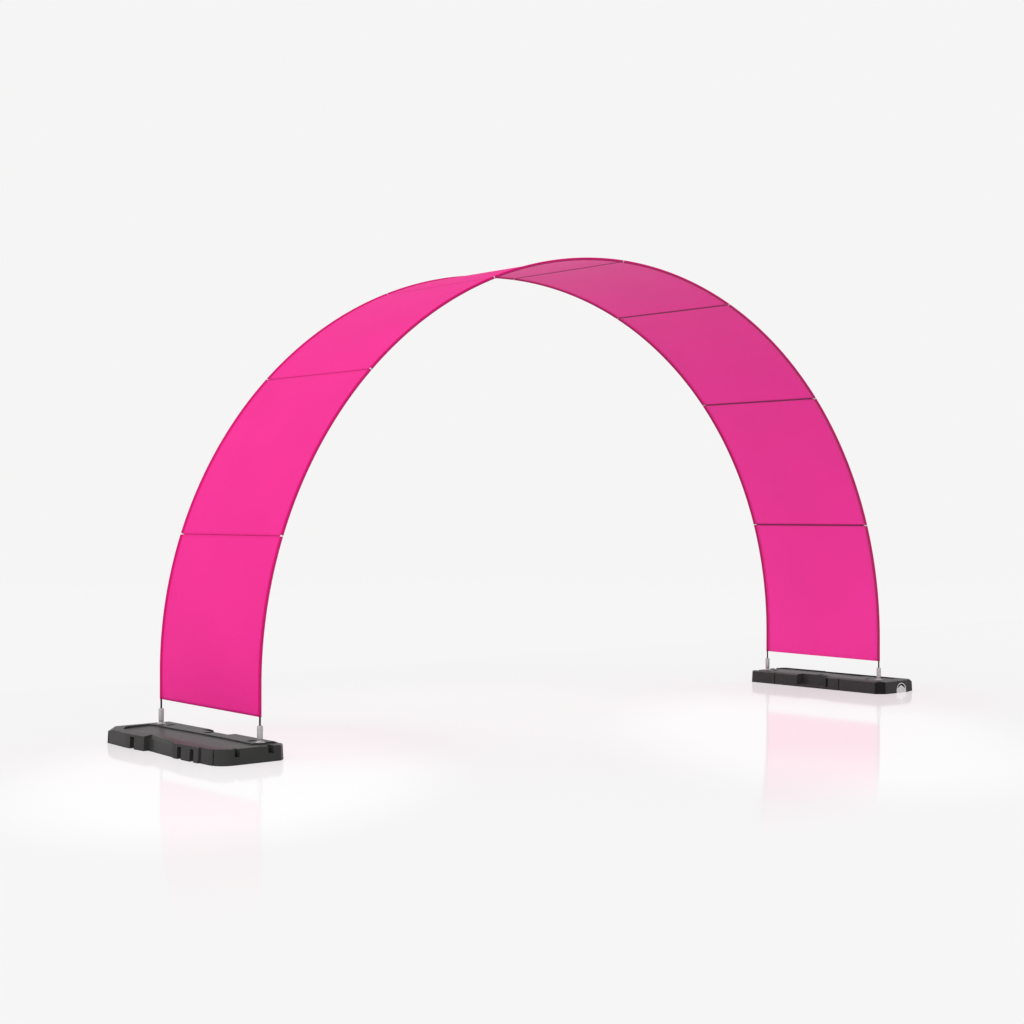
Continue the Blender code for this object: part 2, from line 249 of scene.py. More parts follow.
arch = {
    "spanHalf": 2.462,
    "rise": 2.348,
    "legStraight": 0.2805,
    "poleAcross": 0.500,
    "plateTop": 0.087,
    "tableSize": 4001,
}
archAngle = np.linspace(0.0, math.pi / 2, arch["tableSize"])
archLength = np.concatenate(([0.0], np.cumsum(np.hypot(
    np.diff(arch["spanHalf"] * np.sin(archAngle)), np.diff(arch["rise"] * np.cos(archAngle))))))
quarter = float(archLength[-1])
springHeight = arch["plateTop"] + arch["legStraight"]
legFoot = quarter + arch["legStraight"]


def archAt(along):
    # arrays of place and outward normal in the X Z plane
    along = np.asarray(along, float)
    side = np.where(along < 0, -1.0, 1.0)
    angle = np.interp(np.abs(along), archLength, archAngle)
    straight = np.maximum(np.abs(along) - quarter, 0.0)
    x = side * arch["spanHalf"] * np.sin(angle)
    z = springHeight + arch["rise"] * np.cos(angle) - straight
    normalX = side * arch["rise"] * np.sin(angle)
    normalZ = arch["spanHalf"] * np.cos(angle)
    size = np.hypot(normalX, normalZ)
    return x, z, normalX / size, normalZ / size


def onArch(along, across, out):
    # points for lengths along the arch, across it and out from its line
    x, z, normalX, normalZ = archAt(along)
    return np.stack([x + normalX * out, np.broadcast_to(across, np.shape(x)), z + normalZ * out], axis=-1)


def spread(lengths, across):
    # the same values as rows of lengths and columns across
    shape = (len(lengths), len(across))
    return np.broadcast_to(np.reshape(lengths, (-1, 1)), shape), np.broadcast_to(across, shape)


# Shared finish effects

finish = {  # from and to of each noise, and of what counts as an edge or as facing up
    "mottleSpread": (0.30, 0.70),
    "mottleDetail": 3.0,
    "grainDetail": 2.0,
    "cellScale": 0.6,
    "cellDepth": 0.4,
    "edgeTurn": (0.995, 0.90),
    "wearSpread": (0.40, 0.62),
    "wearDetail": 4.0,
    "dustSlope": (0.6, 1.0),
    "dustSpread": (0.35, 0.75),
    "dustDetail": 5.0,
}


def noiseOver(tree, vector, scale, detail):
    values = {"Vector": vector, "Scale": scale, "Detail": detail}
    return place(tree, "TexNoise", values).outputs[0]


def buildMottle():
    # slow tone changes over a surface
    tree, given, made = newGroup("toneMottle", {"Scale": 5.0, "Low": 0.95, "High": 1.05}, ["Tone"])
    noise = noiseOver(tree, given["Vector"], given["Scale"], finish["mottleDetail"])
    tree.links.new(remap(tree, noise, *finish["mottleSpread"], given["Low"], given["High"]), made["Tone"])
    return tree


def buildWeave():
    # plain weave from two threads, spaced in metres
    tree, given, made = newGroup("plainWeave", {"Spacing": 0.001}, ["Height", "Threads"])
    turns = maths(tree, "DIVIDE", math.pi, given["Spacing"])
    parts = split(tree, given["Vector"])
    warp = maths(tree, "SINE", times(tree, parts[0], turns))
    weft = maths(tree, "SINE", times(tree, parts[1], turns))
    height = times(tree, times(tree, warp, weft), 0.5, 0.5)
    tree.links.new(height, made["Height"])
    threads = times(tree, maths(tree, "ABSOLUTE", warp), maths(tree, "ABSOLUTE", weft))
    tree.links.new(threads, made["Threads"])
    return tree


def buildGrain():
    # fine moulded or cast grain
    tree, given, made = newGroup("fineGrain", {"Size": 0.001}, ["Height"])
    scale = maths(tree, "DIVIDE", 1.0, given["Size"])
    noise = noiseOver(tree, given["Vector"], scale, finish["grainDetail"])
    cells = place(tree, "TexVoronoi", {
        "Vector": given["Vector"], "Scale": times(tree, scale, finish["cellScale"])}).outputs[0]
    tree.links.new(times(tree, cells, finish["cellDepth"], noise), made["Height"])
    return tree


def buildEdgeWearAndHighlight():
    # rubbed patches where the surface turns within a short radius, which on the plates also serve as painted
    # highlight along the edges
    tree, given, made = newGroup("edgeWearAndHighlight", {"Radius": 0.003, "Patches": 40.0}, ["Worn"])
    rounded = place(tree, "Bevel", (given["Radius"],), samples=4).outputs[0]
    turned = remap(tree, vectorMaths(tree, "DOT_PRODUCT", faceNormal(tree), rounded), *finish["edgeTurn"])
    noise = noiseOver(tree, given["Vector"], given["Patches"], finish["wearDetail"])
    tree.links.new(times(tree, turned, remap(tree, noise, *finish["wearSpread"])), made["Worn"])
    return tree


def buildDust():
    # thin dust on what faces up, which also lightens the tops as painted highlight
    tree, given, made = newGroup("settledDust", {"Scale": 12.0, "Amount": 0.3}, ["Dust"])
    up = remap(tree, split(tree, faceNormal(tree))[2], *finish["dustSlope"])
    noise = noiseOver(tree, given["Vector"], given["Scale"], finish["dustDetail"])
    drift = times(tree, up, remap(tree, noise, *finish["dustSpread"]))
    tree.links.new(times(tree, drift, given["Amount"]), made["Dust"])
    return tree


mottle, weave, grain = buildMottle(), buildWeave(), buildGrain()
edgeWearAndHighlight, dustAndHighlight = buildEdgeWearAndHighlight(), buildDust()


def mottled(tree, vector, settings):
    return useGroup(tree, mottle, {"Vector": vector, **settings})["Tone"]


print("shared finish effects ready")


# Cloth panels

cloth = {
    "leftHem": -3.926,
    "rightHem": 3.924,
    "seams": (-3.018, -1.982, -0.971, 0.045, 0.983, 1.987, 2.988),
    "thickness": 0.0008,
    "sleeveCentre": 0.4998,
    "sleeveRadius": 0.0077,
    "neck": 0.4885,
    "flap": 0.012,
    "flapDrop": 0.0012,
    "flapEdges": (0.0040, 0.0010, 0.0015),  # plain web before the flap, turn of tone there and at the neck
    "seamGap": 0.003,
    "notch": 0.0045,
    "rowStep": 0.016,
    "sleeveSteps": 20,
    "webColumns": 14,
    "hemDepth": 0.020,
    "hemColumns": 21,
    "hemClear": 0.002,
    "foldSteps": 5,
    "foldRadius": 0.75,  # in thicknesses
    "lap": 0.010,
    "webColour": (0.866, 0.027, 0.291, 1),
    # painted light: the inner side's colours stand in for how light falls on and through the cloth there
    "innerPaintedLightColour": (0.920, 0.032, 0.350, 1),
    # painted shade: doubled cloth takes darker colours, standing in for the light that a single layer lets
    # through
    "doubledShadeColour": (0.640, 0.006, 0.162, 1),
    "innerDoubledShadeColour": (0.460, 0.006, 0.125, 1),
    "doubledShade": {"flap": 0.06, "under": 0.10, "lap": 0.30, "hem": 0.05},  # share of the doubled cloth's painted shade
    "footSkew": 0.007,
    "skewFrom": 3.5,
    "threadSpacing": 0.0011,
    "slowTone": {"Scale": 2.2, "Low": 0.975, "High": 1.02},
    "fineTone": {"Scale": 140.0, "Low": 0.985, "High": 1.01},
    "threadTone": (0.08, 0.968),  # this and the next two are times, plus
    "threadRoughness": (-0.10, 0.74),
    # more specular and sheen on the inner side only, standing in for the glancing light seen there
    "innerSpecular": (0.17, 0.09),
    "innerSheen": 0.15,
    "relief": (0.35, 0.00025),  # strength, depth
}


def buildClothMaterial(name, single, doubled):
    # each pair is the outer side's colour and the inner side's
    made, tree, shader = newMaterial(name, {"Sheen Roughness": 0.4})
    chart = place(tree, "UVMap", uv_map="clothMap").outputs[0]
    threads = useGroup(tree, weave, {"Vector": chart, "Spacing": cloth["threadSpacing"]})
    slow, fine = (mottled(tree, chart, cloth[key]) for key in ("slowTone", "fineTone"))
    tone = times(tree, times(tree, slow, fine),
                 times(tree, threads["Threads"], *cloth["threadTone"]))
    # painted light and shade: the inner side takes its own colours, lighter on the single web and darker
    # where doubled, and more specular and sheen, standing in for the light that reaches it
    fromAxis = vectorMaths(tree, "SUBTRACT", objectPlace(tree), (0.0, 0.0, springHeight))
    flat = vectorMaths(tree, "MULTIPLY", fromAxis, (1.0, 0.0, 1.0))
    facing = vectorMaths(tree, "DOT_PRODUCT", flat, faceNormal(tree, "True Normal"))
    inwards = maths(tree, "LESS_THAN", facing, 0.0)
    # painted shade: the layers share mixes doubled cloth towards its darker colour
    layers = place(tree, "Attribute", attribute_name="layers").outputs["Fac"]
    shade = mixColour(tree, layers, mixColour(tree, inwards, *single), mixColour(tree, inwards, *doubled))
    feed(shader, {
        "Base Color": toned(tree, shade, tone),
        "Roughness": times(tree, threads["Threads"], *cloth["threadRoughness"]),
        "Specular IOR Level": times(tree, inwards, *cloth["innerSpecular"]),
        "Sheen Weight": times(tree, inwards, cloth["innerSheen"]),
    })
    addRelief(shader, threads["Height"], *cloth["relief"])
    return made


clothMaterial = buildClothMaterial("bannerCloth", (cloth["webColour"], cloth["innerPaintedLightColour"]),
                                   (cloth["doubledShadeColour"], cloth["innerDoubledShadeColour"]))


def hung(along, across):
    # the near edge of both feet hangs a little lower than the far edge
    share = np.clip((np.abs(along) - cloth["skewFrom"]) / (cloth["rightHem"] - cloth["skewFrom"]), 0.0, 1.0)
    return along + np.sign(along) * share * cloth["footSkew"] * (arch["poleAcross"] - across)


def sleeveSection():
    # half of the cloth's section as across, out, layers of cloth as a share of painted shade: web, sleeve,
    # flap back under the web
    neck, centre, radius = cloth["neck"], cloth["sleeveCentre"], cloth["sleeveRadius"]
    inner, drop, doubledShade = neck - cloth["flap"], -cloth["flapDrop"], cloth["doubledShade"]
    before, edge, ease = cloth["flapEdges"]
    columns = [(neck * index / cloth["webColumns"], 0.0, 0.0) for index in range(1, cloth["webColumns"] - 1)]
    columns += [(inner - before, 0.0, 0.0), (inner, 0.0, 0.0), (inner + edge, 0.0, doubledShade["flap"]),
                (neck - ease, 0.0, doubledShade["flap"]), (neck, 0.0, 1.0)]
    start = math.pi - math.acos(radius / (centre - neck))
    for step in range(cloth["sleeveSteps"] + 1):
        angle = start - 2 * start * step / cloth["sleeveSteps"]
        columns.append((centre + radius * math.cos(angle), radius * math.sin(angle), 1.0))
    columns += [(neck, drop, 1.0), (neck - ease, drop, doubledShade["under"]), (inner, drop, doubledShade["under"])]
    return columns


def gridFaces(rows, columns, keep=None):
    faces = []
    for row in range(rows - 1):
        for column in range(columns - 1):
            if keep is None or keep(row, column):
                first = row * columns + column
                faces.append((first, first + 1, first + columns + 1, first + columns))
    return faces


def clothPiece(name, parts, material, thickness, replaced):
    # parts are (points, faces, layers, map) and become one cloth of one thickness
    points, faces = gathered([part[:2] for part in parts])
    layers = np.concatenate([part[2].reshape(-1) for part in parts])
    chart = np.concatenate([part[3].reshape(-1, 2) for part in parts])
    data = meshFrom(name, points, faces, smoothAngle=50)
    data.attributes.new("layers", "FLOAT", "POINT").data.foreach_set("value", layers.astype(np.float32))
    corners = np.zeros(len(data.loops), np.int32)
    data.loops.foreach_get("vertex_index", corners)
    data.uv_layers.new(name="clothMap").data.foreach_set("uv", chart[corners].astype(np.float32).ravel())
    mesh = bmesh.new()
    mesh.from_mesh(data)
    bmesh.ops.delete(mesh, geom=[vertex for vertex in mesh.verts if not vertex.link_faces], context="VERTS")
    mesh.to_mesh(data)
    mesh.free()
    made = addPiece(name, data, material, replaced)
    solid = made.modifiers.new("thickness", "SOLIDIFY")
    solid.thickness = thickness
    solid.offset = 0.0
    return made


def rowLengths(start, end, startJoined, endJoined):
    gap, notch = cloth["seamGap"] / 2, cloth["notch"]
    first = [start + gap, start + notch] if startJoined else [start]
    last = [end - notch, end - gap] if endJoined else [end]
    count = max(2, round((last[0] - first[-1]) / cloth["rowStep"]))
    return np.array(first[:-1] + list(np.linspace(first[-1], last[0], count + 1)) + last[1:])


def buildPanel(number, start, end, startJoined, endJoined):
    half = sleeveSection()
    section = [(-across, out, layer) for across, out, layer in reversed(half)] + [(0.0, 0.0, 0.0)] + half
    across, out, layer = (np.array(values) for values in zip(*section))
    lengths = rowLengths(start, end, startJoined, endJoined)
    rows, columns = len(lengths), len(section)
    along2, across2 = spread(lengths, across)
    points = onArch(hung(along2, across2), across2, np.tile(out, (rows, 1)))
    webHalf = len(half) - (cloth["sleeveSteps"] + 1) - 3  # without the sleeve and the flap
    web = np.abs(np.arange(columns - 1) - (columns - 2) / 2) < webHalf
    notched = set(([0] if startJoined else []) + ([rows - 2] if endJoined else []))
    faces = gridFaces(rows, columns, lambda row, column: row not in notched or web[column])
    layers = np.tile(layer, (rows, 1))
    # painted shade where the cloth laps at a seam
    for joined, edge in ((startJoined, start), (endJoined, end)):
        if joined:
            near = np.abs(lengths - edge) < cloth["lap"]
            layers[near] = np.maximum(layers[near], cloth["doubledShade"]["lap"])
    unrolled = np.concatenate(([0.0], np.cumsum(np.hypot(np.diff(across), np.diff(out)))))
    parts = [(points, faces, layers, np.stack(spread(lengths, unrolled)[::-1], axis=-1))]
    if not (startJoined and endJoined):
        parts.append(hemPart(end if startJoined else start, -1 if startJoined else 1))
    made = clothPiece("clothPanel_%d" % number, parts, clothMaterial, cloth["thickness"],
                      ["panel_%d" % number])
    flatWidth = 2 * float(unrolled[-1] - unrolled[columns // 2])
    flatLength = float(lengths[-1] - lengths[0]) + (0 if startJoined and endJoined else cloth["hemDepth"])
    return made, flatWidth, flatLength


def hemPart(edge, inward):
    # the web's foot turned up behind itself
    reach = cloth["neck"] - cloth["flap"] - cloth["hemClear"]
    fold, depth = cloth["thickness"] * cloth["foldRadius"], cloth["hemDepth"]
    profile = [(0.0, 0.0)]
    for step in range(1, cloth["foldSteps"] + 1):
        angle = math.pi * step / cloth["foldSteps"]
        profile.append((-fold * math.sin(angle), -fold * (1 - math.cos(angle))))
    profile += [(depth / 2, -2 * fold), (depth, -2 * fold)]
    across = np.linspace(-reach, reach, cloth["hemColumns"])
    along2, across2 = spread([edge + inward * step for step, _ in profile], across)
    out2 = spread([value for _, value in profile], across)[0]
    layers = np.full(along2.shape, cloth["doubledShade"]["hem"])
    points = onArch(hung(along2, across2), across2, out2)
    return points, gridFaces(*along2.shape), layers, np.stack([across2, along2], axis=-1)


joints = (cloth["leftHem"],) + cloth["seams"] + (cloth["rightHem"],)
spans = [(index + 1, joints[index], joints[index + 1], index > 0, index < len(joints) - 2)
         for index in range(len(joints) - 1)]
panels = [buildPanel(*span) for span in spans]
print("cloth panels:", len(panels))


# Stitches: small thread beads, half sunk in the cloth

stitch = {
    "pitch": 0.0046,
    "length": 0.0036,
    "width": 0.0007,
    "height": 0.0005,
    "colour": (0.700, 0.009, 0.225, 1),
    "tone": {"Scale": 900.0, "Low": 0.85, "High": 1.12},
    "insets": (0.0030, 0.0095),  # of the two rows on a flap
    "endClear": 0.003,
    "hemRow": 0.016,
    "hemClear": 0.004,
}

threadMaterial, threadTree, threadShader = newMaterial("seamThread", {
    "Roughness": 0.55, "Sheen Weight": 0.10, "Specular IOR Level": 0.4})
threadTone = mottled(threadTree, objectPlace(threadTree), stitch["tone"])
feed(threadShader, {"Base Color": toned(threadTree, stitch["colour"], threadTone)})


def stitchBeads(along, across, out, runsAcross):
    # one bead at each place, as points and faces
    along = hung(along, across)
    x, z, normalX, normalZ = archAt(along)
    centre = np.stack([x + normalX * out, across, z + normalZ * out], axis=-1)
    normal = np.stack([normalX, np.zeros_like(x), normalZ], axis=-1)
    across3 = np.tile([0.0, 1.0, 0.0], (len(x), 1))
    tangent = np.cross(across3, normal)
    run, side = (across3, tangent) if runsAcross else (tangent, across3)
    half, width, height = stitch["length"] / 2, stitch["width"] / 2, stitch["height"]
    shape = [(-half, 0, 0), (0, -width, 0), (0, 0, height), (0, width, 0), (0, 0, -height), (half, 0, 0)]
    beads = np.stack([centre + run * a + side * b + normal * c for a, b, c in shape], axis=1).reshape(-1, 3)
    template = [(0, 1, 2), (0, 2, 3), (0, 3, 4), (0, 4, 1), (5, 2, 1), (5, 3, 2), (5, 4, 3), (5, 1, 4)]
    faces = [tuple(6 * bead + corner for corner in face) for bead in range(len(x)) for face in template]
    return beads, faces


def stitchObject(name, rows):
    # rows are (along, across, height on each face, runs across)
    beads = []
    for along, across, heights, runsAcross in rows:
        both = np.broadcast_arrays(np.atleast_1d(along).astype(float), np.atleast_1d(across).astype(float))
        beads += [stitchBeads(*both, out, runsAcross) for out in heights]
    return addPiece(name, meshFrom(name, *gathered(beads), smoothAngle=60), threadMaterial)


def stitchPanel(number, start, end, startJoined, endJoined):
    face, clear = cloth["thickness"] / 2, stitch["endClear"]
    first = start + (cloth["notch"] + clear if startJoined else clear)
    last = end - (cloth["notch"] + clear if endJoined else clear)
    along = np.arange(first, last, stitch["pitch"])
    faces = (face, -cloth["flapDrop"] - face)
    rows = [(along, side * (cloth["neck"] - inset), faces, False)
            for side in (-1, 1) for inset in stitch["insets"]]
    if not (startJoined and endJoined):
        edge = end - stitch["hemRow"] if startJoined else start + stitch["hemRow"]
        reach = cloth["neck"] - cloth["flap"] - stitch["hemClear"]
        under = -2 * cloth["foldRadius"] * cloth["thickness"] - face
        rows.append((edge, np.arange(-reach, reach, stitch["pitch"]), (face, under), True))
    return stitchObject("panelStitches_%d" % number, rows)


panelStitches = [stitchPanel(*span) for span in spans]
print("panel stitches:", len(panelStitches))


# Tapes under the cross seams

tape = {
    "half": 0.0055,
    "thickness": 0.0008,
    "drop": 0.0014,
    "reach": 0.4822,
    "rows": 7,
    "columns": 41,
    # the tape's colours are partly its own dark tone and partly painted shade in the seam gap, much darker
    # on the inner side
    "tapeShadeColours": ((0.480, 0.008, 0.150, 1), (0.165, 0.009, 0.068, 1)),
    "stitchRows": (-0.0038, 0.0038),
    "stitchEnds": (0.004, 0.003),
}
tapeMaterial = buildClothMaterial("seamTape", tape["tapeShadeColours"], tape["tapeShadeColours"])
tapes, seamStitches = [], []
for index, seam in enumerate(cloth["seams"], 1):
    along2, across2 = spread(np.linspace(seam - tape["half"], seam + tape["half"], tape["rows"]),
                             np.linspace(-tape["reach"], tape["reach"], tape["columns"]))
    shape = along2.shape
    points = onArch(along2, across2, np.full(shape, -tape["drop"]))
    parts = [(points, gridFaces(*shape), np.zeros(shape), np.stack([across2, along2], axis=-1))]
    tapes.append(clothPiece("clothTape_%d" % index, parts, tapeMaterial, tape["thickness"],
                            ["seam_tape_%d" % index]))
    first, last = tape["stitchEnds"]
    row = np.arange(first - tape["reach"], tape["reach"] - last, stitch["pitch"])
    faces = (cloth["thickness"] / 2, -tape["drop"] - tape["thickness"] / 2)
    rows = [(seam + offset, row, faces, True) for offset in tape["stitchRows"]]
    seamStitches.append(stitchObject("seamStitches_%d" % index, rows))
print("seam tapes:", len(tapes))


# Bent poles

pole = {
    "radius": 0.0050,
    "sides": 16,
    "step": 0.025,
    "endGap": 0.0005,
    "endRound": (0.0006, 0.82),  # depth, and the end's share of the radius
    "socketFloor": 0.0153,
    "colour": (0.016, 0.016, 0.017, 1),
    "stretch": (60.0, 900.0, 60.0),
    "fibres": {"Scale": 1.0, "Low": 0.75, "High": 1.35},
    "roughness": 0.36,
    "relief": (0.15, 0.0002),
}


def stretchedPlace(tree, scale):
    return place(tree, "Mapping", {"Vector": objectPlace(tree), "Scale": scale}).outputs[0]


def buildPoleMaterial():
    made, tree, shader = newMaterial("fibreRod", {"Specular IOR Level": 0.28})
    fibres = mottled(tree, stretchedPlace(tree, pole["stretch"]), pole["fibres"])
    feed(shader, {"Base Color": toned(tree, pole["colour"], fibres),
                  "Roughness": times(tree, fibres, pole["roughness"])})
    addRelief(shader, fibres, *pole["relief"])
    return made


poleMaterial = buildPoleMaterial()


def tubeMesh(lengths, across):
    # a bent rod with slightly rounded ends
    radius, sides, (depth, share) = pole["radius"], pole["sides"], pole["endRound"]
    first, last = lengths[:1], lengths[-1:]
    lengths = np.concatenate((first, first + depth, lengths[1:-1], last - depth, last))
    radii = np.full(len(lengths), radius)
    radii[[0, -1]] = radius * share
    x, z, normalX, normalZ = archAt(lengths)
    angles = np.linspace(0, 2 * math.pi, sides, endpoint=False)
    points = np.stack([
        x[:, None] + normalX[:, None] * radii[:, None] * np.cos(angles),
        across + radii[:, None] * np.sin(angles),
        z[:, None] + normalZ[:, None] * radii[:, None] * np.cos(angles)], axis=-1).reshape(-1, 3)
    return points, ringFaces(sides, len(lengths))


def buildPoleLine(row, across):
    foot = legFoot - pole["socketFloor"]
    ends = (-foot,) + cloth["seams"] + (foot,)
    rods = []
    for first, last in zip(ends, ends[1:]):
        first, last = first + pole["endGap"], last - pole["endGap"]
        rods.append(tubeMesh(np.linspace(first, last, max(3, round((last - first) / pole["step"]))), across))
    data = outward(meshFrom("poleLine", *gathered(rods), smoothAngle=40))
    nodes = ["pole_%s_%d" % (row, number) for number in range(1, len(ends))]
    return addPiece("poleLine_" + row, data, poleMaterial, nodes)


rows = (("near", -arch["poleAcross"]), ("far", arch["poleAcross"]))
poleLines = [buildPoleLine(row, across) for row, across in rows]
print("pole lines:", len(poleLines))


# Metal ferrules and sockets

metal = {
    "lines": {"Scale": 1.0, "Low": 0.92, "High": 1.06},
    "wear": {"Radius": 0.0012, "Patches": 120.0},
    "wornShare": 0.5,
    "wornAndLitColour": (0.62, 0.60, 0.60, 1),
    "roughness": (0.6, 0.4),  # shares that follow the lines and that stay
    "relief": (0.12, 0.0002),
}
ferrule = {
    "radius": 0.0066,
    "bore": 0.0052,
    "half": 0.030,
    "lip": 0.0006,
    "colour": (0.700, 0.695, 0.690, 1),
    "brushed": (500.0, 500.0, 500.0),
    "metallic": 0.9,
    "roughness": 0.28,
}
socket = {
    "colour": (0.510, 0.485, 0.495, 1),
    "brushed": (90.0, 90.0, 1400.0),
    "metallic": 0.55,
    "roughness": 0.38,
    "profile": (  # radius, height, rounding of that corner
        (0.0, 0.015, 0), (0.0054, 0.015, 0), (0.0054, 0.0858, 0.0004), (0.0064, 0.087, 0.0004),
        (0.0105, 0.087, 0.0012), (0.0147, 0.0830, 0.0025), (0.0147, 0.022, 0.0020), (0.0122, 0.014, 0.0030),
        (0.0122, 0.009, 0.0045), (0.0290, 0.0020, 0.0010), (0.0290, 0.0, 0.0004), (0.0, 0.0, 0),
    ),
}


def buildMetalMaterial(name, piece):
    made, tree, shader = newMaterial(name, {"Metallic": piece["metallic"], "Specular IOR Level": 0.5})
    lines = mottled(tree, stretchedPlace(tree, piece["brushed"]), metal["lines"])
    worn = useGroup(tree, edgeWearAndHighlight, {"Vector": objectPlace(tree), **metal["wear"]})["Worn"]
    body, share = toned(tree, piece["colour"], lines), times(tree, worn, metal["wornShare"])
    feed(shader, {
        "Base Color": mixColour(tree, share, body, metal["wornAndLitColour"]),
        "Roughness": times(tree, lines, *(piece["roughness"] * part for part in metal["roughness"])),
    })
    addRelief(shader, lines, *metal["relief"])
    return made


ferruleMaterial = buildMetalMaterial("ferruleMetal", ferrule)
socketMaterial = buildMetalMaterial("socketMetal", socket)

bore, radius, half, lip = (ferrule[key] for key in ("bore", "radius", "half", "lip"))
ferruleWall = [(bore, half, lip / 2), (radius, half, lip), (radius, -half, lip), (bore, -half, lip / 2)]
ferruleProfile = roundedPath(ferruleWall + ferruleWall[:1], closed=False, steps=3)
ferruleData = outward(latheMesh("ferrule", ferruleProfile, segments=32))
for row, across in rows:
    for number, seam in enumerate(cloth["seams"], 1):
        x, z, normalX, normalZ = (float(value) for value in archAt(seam))
        made = addPiece("ferruleTube_%s_%d" % (row, number), ferruleData, ferruleMaterial)
        normal, tangent = Vector((normalX, 0, normalZ)), Vector((normalZ, 0, -normalX))
        turnedAxes = Matrix((normal, tangent.cross(normal), tangent)).transposed().to_4x4()
        made.matrix_world = Matrix.Translation((x, across, z)) @ turnedAxes
        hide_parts("ferrule_%s_%d" % (row, number))

socketProfile = roundedPath(socket["profile"], closed=False, steps=5)
socketData = outward(latheMesh("socket", socketProfile, segments=64))
for end in ("left", "right"):
    for row, across in rows:
        made = addPiece("socketBody_%s_%s" % (end, row), socketData, socketMaterial)
        low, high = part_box("socket_%s_%s" % (end, row))
        made.location = ((low.x + high.x) / 2, (low.y + high.y) / 2, low.z)
        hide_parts("socket_%s_%s" % (end, row))
print("ferrules and sockets ready")


# Base plates: v is outwards from the pole line, u along the plate

plate = {
    "height": 0.087,
    "draft": 0.004,
    "edge": 0.006,
    "over": 0.020,
    "outline": (  # v, u, corner radius at the foot
        (-0.104, -0.556, 0.020), (-0.104, 0.554, 0.004), (-0.045, 0.602, 0.004), (0.172, 0.602, 0.006),
        (0.288, 0.564, 0.006), (0.303, 0.340, 0.060), (0.303, 0.250, 0.060), (0.297, 0.150, 0.010),
        (0.297, -0.160, 0.006), (0.306, -0.172, 0.006), (0.304, -0.415, 0.003), (0.294, -0.419, 0.003),
        (0.293, -0.596, 0.085), (-0.066, -0.592, 0.022),
    ),
    "deck": (  # v, u, corner radius
        (0.055, -0.583, 0.010), (0.045, -0.210, 0), (0.047, 0.110, 0), (0.056, 0.370, 0.030),
        (0.048, 0.459, 0.020), (0.062, 0.520, 0.012), (0.204, 0.512, 0.020), (0.250, 0.455, 0.020),
        (0.250, 0.195, 0.010),
        (0.226, 0.152, 0.010), (0.252, -0.150, 0.010), (0.254, -0.488, 0.060), (0.215, -0.583, 0.030),
    ),
    "deckTop": 0.0795,
    "deckFall": 0.024,
    "lip": ((0.040, 0.235), (-0.700, -0.570), 0.0800),
    "shoulderTop": 0.0785,
    "shoulder": (-0.512, 0.031, -0.200, 0.070, -0.700),  # u, radius round the socket, v from, to, u past
    "leans": (  # from v, u to v, u with the outside on the right, low and high height, lean between them
        (0.303, -0.600, 0.303, -0.200, 0.078, 0.087, 0.095),
        (0.303, -0.160, 0.303, 0.700, 0.075, 0.087, 0.090),
        (-0.104, 0.700, -0.104, -0.700, 0.0765, 0.087, 0.028),
        (0.100, -0.596, 0.400, -0.596, 0.0800, 0.087, 0.120),
        (0.400, 0.602, -0.200, 0.602, 0.0795, 0.087, 0.048),
        (0.3336, 0.4714, 0.2666, 0.6014, 0.062, 0.087, 0.0468),
        (-0.1186, -0.5437, -0.0546, -0.6117, 0.064, 0.087, 0.020),
    ),
    "scoops": (  # v past the side, u of each end, then v, height down the wall at each end
        (0.360, (0.148, (0.244, 0.087), (0.266, 0.061), (0.270, -0.020)),
         (-0.148, (0.276, 0.087), (0.288, 0.061), (0.296, -0.020))),
        (-0.160, (0.118, (-0.032, 0.087), (-0.038, 0.030), (-0.040, 0.015)),
         (-0.139, (-0.032, 0.087), (-0.038, 0.030), (-0.040, 0.015))),
    ),
    "slots": (  # v from, to, u from, to, height from, to
        (0.240, 0.340, 0.243, 0.288, -0.020, 0.064), (0.240, 0.340, -0.250, -0.212, -0.020, 0.063),
        (0.240, 0.340, -0.371, -0.334, -0.020, 0.063), (0.172, 0.201, -0.640, -0.545, 0.036, 0.107),
        (-0.026, 0.008, -0.640, -0.545, 0.039, 0.107), (-0.160, -0.090, -0.3475, -0.3385, -0.020, 0.107),
        (-0.160, -0.090, 0.2315, 0.2405, -0.020, 0.107), (0.280, 0.340, -0.5400, -0.5310, -0.020, 0.107),
        (0.284, 0.340, -0.4240, -0.4160, -0.020, 0.107),
        (-0.160, 0.010, 0.120, 0.142, 0.015, 0.0785), (-0.030, 0.018, 0.390, 0.424, 0.070, 0.107),
        (-0.026, 0.024, -0.018, 0.018, 0.070, 0.107), (-0.020, 0.026, -0.446, -0.408, 0.070, 0.107),
    ),
    # painted shade on the chamfers at the plug's end
    "facets": ((0.050, 0.300), (-0.300, -0.180)),
    "facetFrom": 0.545,
    "facetPaintedShade": 0.35,
    "facetSlope": 0.4,
    "topSlope": (0.75, 0.97),
    "colour": (0.043, 0.043, 0.042, 1),
    "topPaintedReflection": (0.080, 0.078, 0.077, 1),
    "wornAndLitColour": (0.110, 0.108, 0.105, 1),
    "dustHighlightColour": (0.130, 0.127, 0.124, 1),
    "tone": {"Scale": 9.0, "Low": 0.93, "High": 1.07},
    "wear": {"Radius": 0.004, "Patches": 34.0},
    "wornShare": 0.7,
    "dustAndHighlight": {"Scale": 16.0, "Amount": 0.10},
    "specular": (-0.055, 0.09),  # this and the next are times, plus
    "roughness": (0.08, 0.14),
    "topRoughness": 0.12,
    "dustRoughness": 0.35,
    "grain": 0.0016,
    "relief": (0.10, 0.0003),
}
